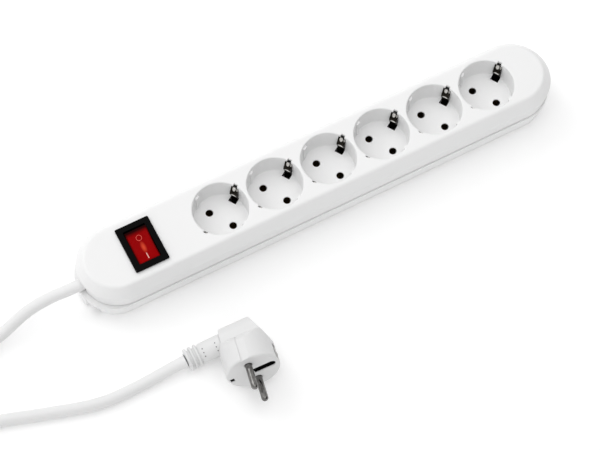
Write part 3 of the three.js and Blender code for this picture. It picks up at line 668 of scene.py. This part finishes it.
# ---------------------------------------------------------------- contacts
def make_earth_clip():
    """Spring with two arms standing in the well's side slots, each with a pressed contact bump."""
    foot = box("earth_clip_1")[0].z + 0.4
    arm = rounded([(0, 0), (17.9, 0, 0.9), (18.9, 2.2, 1), (18.9, 13.4, 3), (16.9, 20.2, 1.2),
                   (17.4, 22.2, 1), (19.7, 26.8)], steps=6)
    line = [(-r, foot + z) for r, z in arm[:0:-1]] + [(r, foot + z) for r, z in arm[1:]]

    def press(z, y):
        reach = ((z - foot - 25) / 1.6) ** 2 + (y / 1.3) ** 2
        return -0.35 * math.exp(-reach)

    return bent_strip(refined(line, 0.5), 5.6, 0.8, press, across=12)


def refined(line, step):
    """The same line with points at most step apart."""
    points = [line[0]]
    for before, after in zip(line, line[1:]):
        length = math.dist(before, after)
        parts = max(1, math.ceil(length / step))
        points += [tuple(a + (b - a) * k / parts for a, b in zip(before, after)) for k in range(1, parts + 1)]
    return points


# ---------------------------------------------------------------- switch
BEZEL = (24.9, 35.0, 1.7)
BODY = (21.6, 30.8)
ROCKER_HOLE = (16.4, 26.6)


def plate(size, radius, low, high):
    x, y = size[0] / 2, size[1] / 2
    corners = [(-x, -y, radius), (x, -y, radius), (x, y, radius), (-x, y, radius)]
    return prism(rounded(corners, steps=8), low, high)


def bevelled(made, width, segments=4, limit=40):
    bevel = made.modifiers.new("bevel", "BEVEL")
    bevel.width = width
    bevel.segments = segments
    bevel.limit_method = "ANGLE"
    bevel.angle_limit = math.radians(limit)
    return baked(made)


def make_switch_housing():
    seat = TOP + 0.3
    bezel = bevelled(plate(BEZEL[:2], 0.9, seat, seat + BEZEL[2]), 0.45)
    well = joined(plate(BODY, 0.6, 25.5, seat + 1), bezel)
    hole = plate(ROCKER_HOLE, 0.5, 28.5, TOP + 6)
    bearing = rod_along_x(1.9, -9.9, 9.9, 32)
    at(bearing, 0, 0, PIVOT.z)
    blades = [slab((x, y, 26), (1.4, 5.4, 7)) for x in (-5, 5) for y in (-8, 8)]
    return at(cut(well, hole, bearing, *blades), SWITCH_X)


# Two finger faces that meet in a hollow: one round face from crown to crown
FACE_REACH, FACE_CROWN, FACE_DIP = 11.9, 6.6, 4.7
FACE_RADIUS = (FACE_REACH ** 2 + (FACE_CROWN - FACE_DIP) ** 2) / (2 * (FACE_CROWN - FACE_DIP))


def rocker_outline():
    """Side of the rocker about its pivot, in (y, z)."""
    swing = math.degrees(math.asin(FACE_REACH / FACE_RADIUS))
    face = arc((0, FACE_DIP + FACE_RADIUS), FACE_RADIUS, -90 + swing, -90 - swing, 24)
    return [(12.3, -3.4), (12.9, -1), (12.9, 1), *face, (-12.9, 1), (-12.9, -1), (-12.3, -3.4)]


def rocker_face(y):
    """Height of the rocker's face above its pivot."""
    return FACE_DIP + FACE_RADIUS - math.sqrt(FACE_RADIUS ** 2 - y ** 2)


ROCKER_PLACE = Matrix.Translation(PIVOT) @ Matrix.Rotation(ROCKER_TILT, 4, "X")


def make_rocker():
    body = moved(prism(rocker_outline(), -7.9, 7.9), SEEN_FROM_END)
    body = bevelled(body, 0.5)
    pins = rod_along_x(1.6, -9.5, 9.5, 32)
    hollow = slab((0, 0, -2.7), (12.4, 20, 4.6))
    lamp_way = slab((0, 0, 0.8), (4.8, 12, 3.6))
    return moved(cut(joined(body, pins), hollow, lamp_way), ROCKER_PLACE)


def make_marks():
    """Inlaid ring at the off end and bar at the on end."""
    sunk, proud = 0.2, 0.12
    ring = swept([(1.75, -sunk), (2.05, -sunk), (2.05, proud), (1.75, proud)], segments=48, ring=True)
    ring_y, bar_y = 5.7, -8.1
    slope = math.atan((rocker_face(ring_y + 0.1) - rocker_face(ring_y)) / 0.1)
    moved(ring, ROCKER_PLACE @ Matrix.Translation((0, ring_y, rocker_face(ring_y)))
          @ Matrix.Rotation(slope, 4, "X"))
    bar_outline = [(-0.35, -2.3, 0.3), (0.35, -2.3, 0.3), (0.35, 2.3, 0.3), (-0.35, 2.3, 0.3)]
    bar = prism(rounded(bar_outline), -sunk, proud)
    slope = math.atan((rocker_face(bar_y + 0.1) - rocker_face(bar_y)) / 0.1)
    moved(bar, ROCKER_PLACE @ Matrix.Translation((0, bar_y, rocker_face(bar_y)))
          @ Matrix.Rotation(slope, 4, "X"))
    return ring, bar


# ---------------------------------------------------------------- screws
def make_screw(head, head_height, shank, length, pitch=1.3):
    """Pan-head screw standing on its head, with a cross recess and a cut thread."""
    segments, rows = 24, int((length - head_height) / 0.18)
    points, faces = [], []
    crest = 0.32
    for i in range(rows + 1):
        z = head_height + (length - head_height) * i / rows
        taper = min(1.0, (length - z) / 1.8)
        for j in range(segments):
            phase = (z / pitch - j / segments) % 1
            ridge = crest * max(0.0, 1 - abs(phase - 0.5) * 4)
            radius = max(0.15, (shank - crest + ridge) * (0.25 + 0.75 * taper))
            angle = 2 * math.pi * j / segments
            points.append((radius * math.cos(angle), radius * math.sin(angle), z - 0.05))
    faces += [(i * segments + j, i * segments + (j + 1) % segments, (i + 1) * segments + (j + 1) % segments,
               (i + 1) * segments + j) for i in range(rows) for j in range(segments)]
    faces += [tuple(reversed(range(segments))), tuple(range(rows * segments, (rows + 1) * segments))]
    thread = outward(piece_from(points, faces))
    cap = swept(rounded([(head - 1.6, 0), (head, 0.1, 1.0), (head, head_height)]), segments=40)
    recess = joined(slab((0, 0, 0.2), (3.2, 0.8, 1.6)), slab((0, 0, 0.2), (0.8, 3.2, 1.6)))
    return cut(joined(cap, thread), recess)


# ---------------------------------------------------------------- plug
def make_plug_body():
    skirt = swept(rounded([(PLUG_RADIUS - 6, PLUG_BACK), (PLUG_RADIUS - 0.3, PLUG_BACK),
                           (PLUG_RADIUS - 0.3, -12), (PLUG_RADIUS, -1, 0.8), (PLUG_RADIUS - 0.9, 0),
                           (PLUG_RADIUS - 6, 0)]), segments=128)
    side = rounded([(-19.5, 1), (19.5, 1), (19.2, -15), (18, -17.5, 3), (7.6, PLUG_BACK, 5),
                    (HOOD_END, PLUG_BACK, 0.8), (HOOD_END, -22.4, 1.5),
                    (-17.6, -18.4, 3), (-19.5, -13)], steps=8)
    side_view = moved(prism(side, -25, 25), SEEN_FROM_SIDE)
    shoulder = [(19.5, 1), (19.4, -12), (18.2, -16.5, 6), (15.8, -20.6, 5), (12.4, -23.2, 4),
                (HOOD_RADIUS, -24.3, 0.5), (HOOD_RADIUS, -32.6, 6), (7.2, -37, 4), (4.6, -39.3, 3),
                (1.5, PLUG_BACK)]
    mirrored = [(-c[0], *c[1:]) for c in reversed(shoulder)]
    end_view = moved(prism(rounded(shoulder + mirrored, steps=6), -25, 25), SEEN_FROM_END)
    body = softened(shared(skirt, side_view, end_view), 0.42, 4)

    seam_depth = 0.978           # the seam stops at the body's own shape at this scale
    seams = cut(slab((-1.8, 0, -19), (0.4, 42, 12)), moved(twin(body), Matrix.Scale(seam_depth, 4)))
    tools = [seams]
    for side in (1, -1):
        pin_seat = swept([(2.7, -6), (2.7, -0.3), (3.0, 0), (3.0, 1)], segments=40)
        tools.append(at(pin_seat, 0, side * PIN_OFFSET))
        groove = prism([(-1.8, 17.6), (4.2, 18.0), (4.2, 20), (-1.8, 20)], -18, 2)
        tools.append(groove if side > 0 else moved(groove, Matrix.Scale(-1, 4, (0, 1, 0))))
        tools.append(slab((side * 18.3, 0, -7.25), (2.4, 6.4, 11.5)))
    tools += [face_slot(2.9, -12, 1), slab((-15.5, 0, -3.5), (3, 3.6, 9))]
    seat = rod_along_x(5.7, -18.3, -10.1, 48)
    tools.append(at(seat, 0, 0, NECK_Z))
    return cut(body, *tools)


def face_slot(half, low, high):
    """Upright slot of the earth socket, straight at its inner end and round at its outer one."""
    outline = [(0.4, half), (0.4, -half), *arc((13.4, 0), half, -90, 90, 16)]
    return prism(outline, low, high)


def make_chambers():
    """Thin black sheets in the earth socket and in the small hole beside the pins: painted shade inside them.
    """
    shade_sheet = cut(face_slot(2.88, -11.95, -0.7), at(face_slot(2.55, -11.0, 1), 0.02))
    hole = cut(slab((-15.5, 0, -4.3), (2.98, 3.58, 7.3)), slab((-15.5, 0, -3.9), (2.5, 3.1, 7.3)))
    return joined(shade_sheet, hole)


def make_plug_pin(side):
    radius, length = 2.4, 19.0
    profile = [(radius * 0.6, -5.7), (radius, -5.7), (radius, length - radius)]
    profile += [(radius * math.cos(a), length - radius + radius * math.sin(a))
                for a in (math.radians(d) for d in range(10, 86, 10))]
    return at(swept(profile, segments=64), 0, side * PIN_OFFSET)


def make_plug_spring(side):
    line = refined(rounded([(17.6, -12.4), (17.9, -10, 3), (18.5, -6.5, 6),
                            (17.9, -3, 3), (17.6, -1.9)]), 0.4)
    return bent_strip([(side * x, z) for x, z in line], 5.2, 0.6)


def make_plug_strip():
    """Earth socket: a plate at the bottom of the face slot, folded up in two steps at its inner end."""
    plate_line = refined(rounded([(1.3, -1.6), (1.3, -10.4, 0.5), (12.6, -10.4)]), 0.5)
    strip = bent_strip(plate_line, 4.6, 0.5)
    step = slab((3.2, 0, -7), (0.5, 4.6, 6.6))
    return cut(joined(strip, step), at(swept([(1.8, -13), (1.8, -9)], segments=32), 9))


SPIGOT = 3.7
BOOT_LENGTH = 28 + SPIGOT
BOOT_BEND = math.radians(20.3)
BOOT_LEAN = math.radians(28)
DOT_ANGLE = math.radians(5)  # round the sleeve, towards the side seen from above


def make_boot():
    """Ribbed sleeve, bent so that the lead runs on level."""
    bore = CORD_RADIUS + 0.3
    profile = [(bore, 0), (5.3, 0), (5.3, SPIGOT), (6.9, SPIGOT + 0.3), (7.3, SPIGOT + 0.8)]
    profile += [(7.3 - 0.25 * k / 16, SPIGOT + 0.8 + 15.6 * k / 16) for k in range(1, 17)]
    for back in (9.8, 6.2, 2.6):
        z = BOOT_LENGTH - back
        profile += [(6, z), *arc((7.2, z + 0.9), 0.6, -90, 0, 4),
                    *arc((7.2, z + 1.5), 0.6, 0, 90, 4), (6, z + 2.4)]
    profile += [(5.8, BOOT_LENGTH)]
    profile += [(bore, BOOT_LENGTH * (1 - k / 24)) for k in range(24)]
    sleeve = swept(profile, segments=64, ring=True)
    return bent_to_lead(sleeve)


def bent_to_lead(made):
    """Bends something standing along the sleeve's axis and sets it in place behind the plug."""
    bend_radius = (BOOT_LENGTH - SPIGOT) / BOOT_BEND
    for vertex in made.data.vertices:
        x, y, z = vertex.co
        past = max(z - SPIGOT, 0)
        arm, angle = bend_radius - x, past / bend_radius
        vertex.co = (bend_radius - arm * math.cos(angle), y, z - past + arm * math.sin(angle))
    place = (PLUG_PLACE @ Matrix.Translation((HOOD_END + SPIGOT, 0, NECK_Z))
             @ Matrix.Rotation(BOOT_LEAN - PLUG_TURN.x, 4, "X") @ Matrix.Rotation(-math.pi / 2, 4, "Y"))
    return moved(made, place)


def make_sleeve_dots():
    """Two columns of three small dark dots on the smooth part of the sleeve."""
    dots = []
    for z in (8.2, 18.4):
        for step in (-1, 0, 1):
            dot = turned(swept([(0.38, 6.6), (0.38, 7.32), (0.01, 7.36)], segments=16), math.pi / 2, "Y")
            dots.append(at(turned(dot, DOT_ANGLE + step * math.radians(23)), 0, 0, z))
    return bent_to_lead(joined(*dots))


# ---------------------------------------------------------------- lead
def smooth_step(value, start, end):
    t = min(1, max(0, (value - start) / (end - start)))
    return t * t * (3 - 2 * t)


def coil_points():
    """Two turns winding in on top, then down and out again underneath, a diameter apart."""
    pitch = 2 * CORD_RADIUS
    points = []
    per_turn = 36
    count = round(COIL_TURNS * per_turn)
    for i in range(count + 1):
        turns = COIL_TURNS * i / count
        radius = COIL_OUTER - pitch * (turns if turns < 2 else 4 - turns)
        rise = pitch * (1 - smooth_step(turns, 1.75, 2.25))
        angle = COIL_START + turns * 2 * math.pi
        from_tie = abs((angle - TIE_ANGLE + math.pi) % (2 * math.pi) - math.pi)
        rise += TIE_LIFT * (1 - smooth_step(from_tie, 0.15, 0.9))
        points.append(COIL_CENTRE + Vector((radius * math.cos(angle), radius * math.sin(angle), 4.3 + rise)))
    return points


def smooth_line(points, step):
    """A smooth curve through the points (centripetal Catmull-Rom), sampled every step."""
    points = [Vector(p) for p in points]
    ends = [2 * points[0] - points[1], *points, 2 * points[-1] - points[-2]]
    line = [points[0]]
    for a, b, c, d in zip(ends, ends[1:], ends[2:], ends[3:]):
        t1 = (b - a).length ** 0.5
        t2 = t1 + (c - b).length ** 0.5
        t3 = t2 + (d - c).length ** 0.5
        parts = max(1, round((c - b).length / step))
        for k in range(1, parts + 1):
            t = t1 + (t2 - t1) * k / parts
            ab, bc, cd = a.lerp(b, t / t1), b.lerp(c, (t - t1) / (t2 - t1)), c.lerp(d, (t - t2) / (t3 - t2))
            line.append(ab.lerp(bc, t / t2).lerp(bc.lerp(cd, (t - t1) / (t3 - t1)), (t - t1) / (t2 - t1)))
    return line


def make_cord():
    line = smooth_line([*CORD_FROM_STRIP, *coil_points(), *CORD_TO_PLUG], 2.5)
    curve = bpy.data.curves.new("mains_lead", "CURVE")
    curve.dimensions = "3D"
    curve.bevel_depth = CORD_RADIUS * MM
    curve.bevel_resolution = 10
    curve.use_fill_caps = True
    spline = curve.splines.new("POLY")
    spline.points.add(len(line) - 1)
    for point, place in zip(spline.points, line):
        point.co = (*(place * MM), 1)
    spline.use_smooth = True
    cord = bpy.data.objects.new("mains_lead", curve)
    bpy.context.scene.collection.objects.link(cord)
    curve.materials.append(WHITE_CORD)
    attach(cord, "strip")
    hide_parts("cord_strip_side", "cord_coil", "cord_plug_side")
    return cord


def make_tie():
    """Band round all four turns of the coil, with its closed end lapped on top."""
    reach = 2 * CORD_RADIUS

    def loop(gap):
        side, bend = reach + gap, CORD_RADIUS + gap
        return rounded([(side, -side, bend), (side, side, bend), (-side, side, bend), (-side, -side, bend)],
                       steps=8)

    band = cut(prism(loop(0.62), -2.5, 2.5), prism(loop(0.04), -3, 3))
    lap = slab((1, reach + 0.85, 0), (8.5, 0.6, 5))
    band = joined(band, lap)
    place = (Matrix.Translation(COIL_CENTRE + Vector((0, 0, 4.3 + CORD_RADIUS + TIE_LIFT)))
             @ Matrix.Rotation(TIE_ANGLE, 4, "Z") @ Matrix.Translation((COIL_OUTER - reach, 0, 0)))
    return moved(band, place @ SEEN_FROM_SIDE)


# ---------------------------------------------------------------- set
make_camera()
cord = make_cord()

finished(make_cover(), "cover_shell", "strip", WHITE, ["top_cover"])
finished(make_tray(), "tray_shell", "strip", WHITE, ["base_tray"])
clip, cup, shade_sheet = make_earth_clip(), make_cup(), make_slot_shade_sheets()
for number, socket_x in enumerate(SOCKET_XS, 1):
    finished(twin(clip), f"earth_spring_{number}", "strip", EARTH_METAL,
             [f"earth_clip_{number}"], place=(EARTH_ANGLE, socket_x))
    finished(twin(cup), f"socket_cup_{number}", "strip", WHITE,
             [f"socket_insert_{number}"], place=(0, socket_x))
    # Sheets of painted shade in the two earth slots.
    finished(twin(shade_sheet), f"slot_shade_sheet_{number}", "strip", SHADE_AND_DOT_BLACK, place=(0, socket_x))
finished(make_switch_housing(), "switch_frame", "strip", BLACK, ["switch_housing"])
finished(make_rocker(), "rocker_key", "rocker", RED, ["switch_rocker"])
for spare in (clip, cup, shade_sheet):
    bpy.data.objects.remove(spare)
for mark, mark_name, print_ink in zip(make_marks(), ("off_ring", "on_bar"), (RING_MARK, BAR_MARK)):
    finished(mark, mark_name, "rocker", print_ink)

for number, (x, y) in enumerate(SCREW_PLACES, 1):
    finished(at(make_screw(3, 2.2, 1.75, 14), x, y, box("case_screw_1")[0].z), f"case_screw_fine_{number}",
             "strip", STEEL, [f"case_screw_{number}"])

plug_pieces = [finished(moved(make_plug_body(), PLUG_PLACE), "plug_shell", "strip",
                        WHITE_PLUG, ["plug_body"], sharp=40)]
for number, side in enumerate((-1, 1), 1):
    plug_pieces.append(finished(moved(make_plug_pin(side), PLUG_PLACE), f"contact_pin_{number}", "strip",
                                NICKEL, [f"plug_pin_{number}"]))
for number, side in enumerate((1, -1), 1):
    plug_pieces.append(finished(moved(make_plug_spring(side), PLUG_PLACE), f"side_spring_{number}", "strip",
                                NICKEL, [f"plug_earth_spring_{number}"]))
plug_pieces.append(finished(moved(make_plug_strip(), PLUG_PLACE), "earth_socket_strip", "strip",
                            NICKEL, ["plug_earth_strip"]))
# Sheets of painted shade in the plug's earth socket and hole.
plug_pieces.append(finished(moved(make_chambers(), PLUG_PLACE), "socket_chamber", "strip",
                            SHADE_AND_DOT_BLACK))
plug_pieces.append(finished(make_boot(), "plug_sleeve", "strip", WHITE_PLUG, ["plug_boot"]))

plug_pieces.append(finished(make_sleeve_dots(), "sleeve_dots", "strip", SHADE_AND_DOT_BLACK))
plug_pieces.append(finished(make_tie(), "coil_tie", "strip", WHITE_CORD))

CARRIED = {
    "live_busbar": BRASS, "neutral_busbar": BRASS, "earth_busbar": BRASS, "switch_lamp": LAMP,
    "cord_clamp": WHITE, "clamp_screw_1": STEEL, "clamp_screw_2": STEEL,
    "live_wire_in": CORE_BROWN, "live_wire_out": CORE_BROWN, "neutral_wire_in": CORE_BLUE,
    "neutral_wire_out": CORE_BLUE, "earth_wire": CORE_GREEN_YELLOW,
    **{f"switch_terminal_{i}": BRASS for i in range(1, 5)},
}
for name, finish in CARRIED.items():
    nodes[name].data.materials.clear()
    nodes[name].data.materials.append(finish)


# ---------------------------------------------------------------- floor and light
def make_floor():
    half, below = 4, -0.0002     # metres; just under the strip, so that the two never share a plane
    corners = [(-half, -half, below), (half, -half, below), (half, half, below), (-half, half, below)]
    floor = piece_from(corners, [(0, 1, 2, 3)], "floor")
    made, tree, shader = shader_of("floor")
    tree.links.new(blended(tree, cloud(tree, 3, 2), (0.97, 0.97, 0.97), (0.98, 0.98, 0.98)),
                   shader.inputs["Base Color"])
    shader.inputs["Roughness"].default_value = 0.9
    shader.inputs["Specular IOR Level"].default_value = 0.1
    shader.inputs["Emission Color"].default_value = (1, 1, 1, 1)
    shader.inputs["Emission Strength"].default_value = 0.1
    floor.data.materials.append(made)


def make_light(name, place, size, power):
    light = bpy.data.objects.new(name, bpy.data.lights.new(name, "AREA"))
    light.data.shape = "DISK"
    light.data.size = size
    light.data.energy = power
    light.location = place
    light.rotation_euler = (Vector(place) - Vector((0, 0, 0))).to_track_quat("Z", "Y").to_euler()
    bpy.context.scene.collection.objects.link(light)


make_floor()
make_light("key", (-0.7, 1.3, 1.5), 1.6, 9)
make_light("overhead", (0.1, -0.1, 2.2), 2.2, 12)


def make_world():
    """Even white surroundings with one dark panel low at the near right, for the metal to reflect."""
    world = bpy.data.worlds.new("studio")
    world.use_nodes = True
    tree = world.node_tree
    dot = tree.nodes.new("ShaderNodeVectorMath")
    dot.operation = "DOT_PRODUCT"
    tree.links.new(tree.nodes.new("ShaderNodeTexCoord").outputs["Generated"], dot.inputs[0])
    dot.inputs[1].default_value = Vector((0.75, -0.55, 0.3)).normalized()
    light = ranged(tree, dot.outputs["Value"], 0.76, 0.05, 0.8, 0.89)
    tree.links.new(light, tree.nodes["Background"].inputs["Strength"])
    tree.nodes["Background"].inputs["Color"].default_value = (1, 1, 1, 1)
    bpy.context.scene.world = world


make_world()
bpy.context.scene.view_settings.view_transform = "Standard"
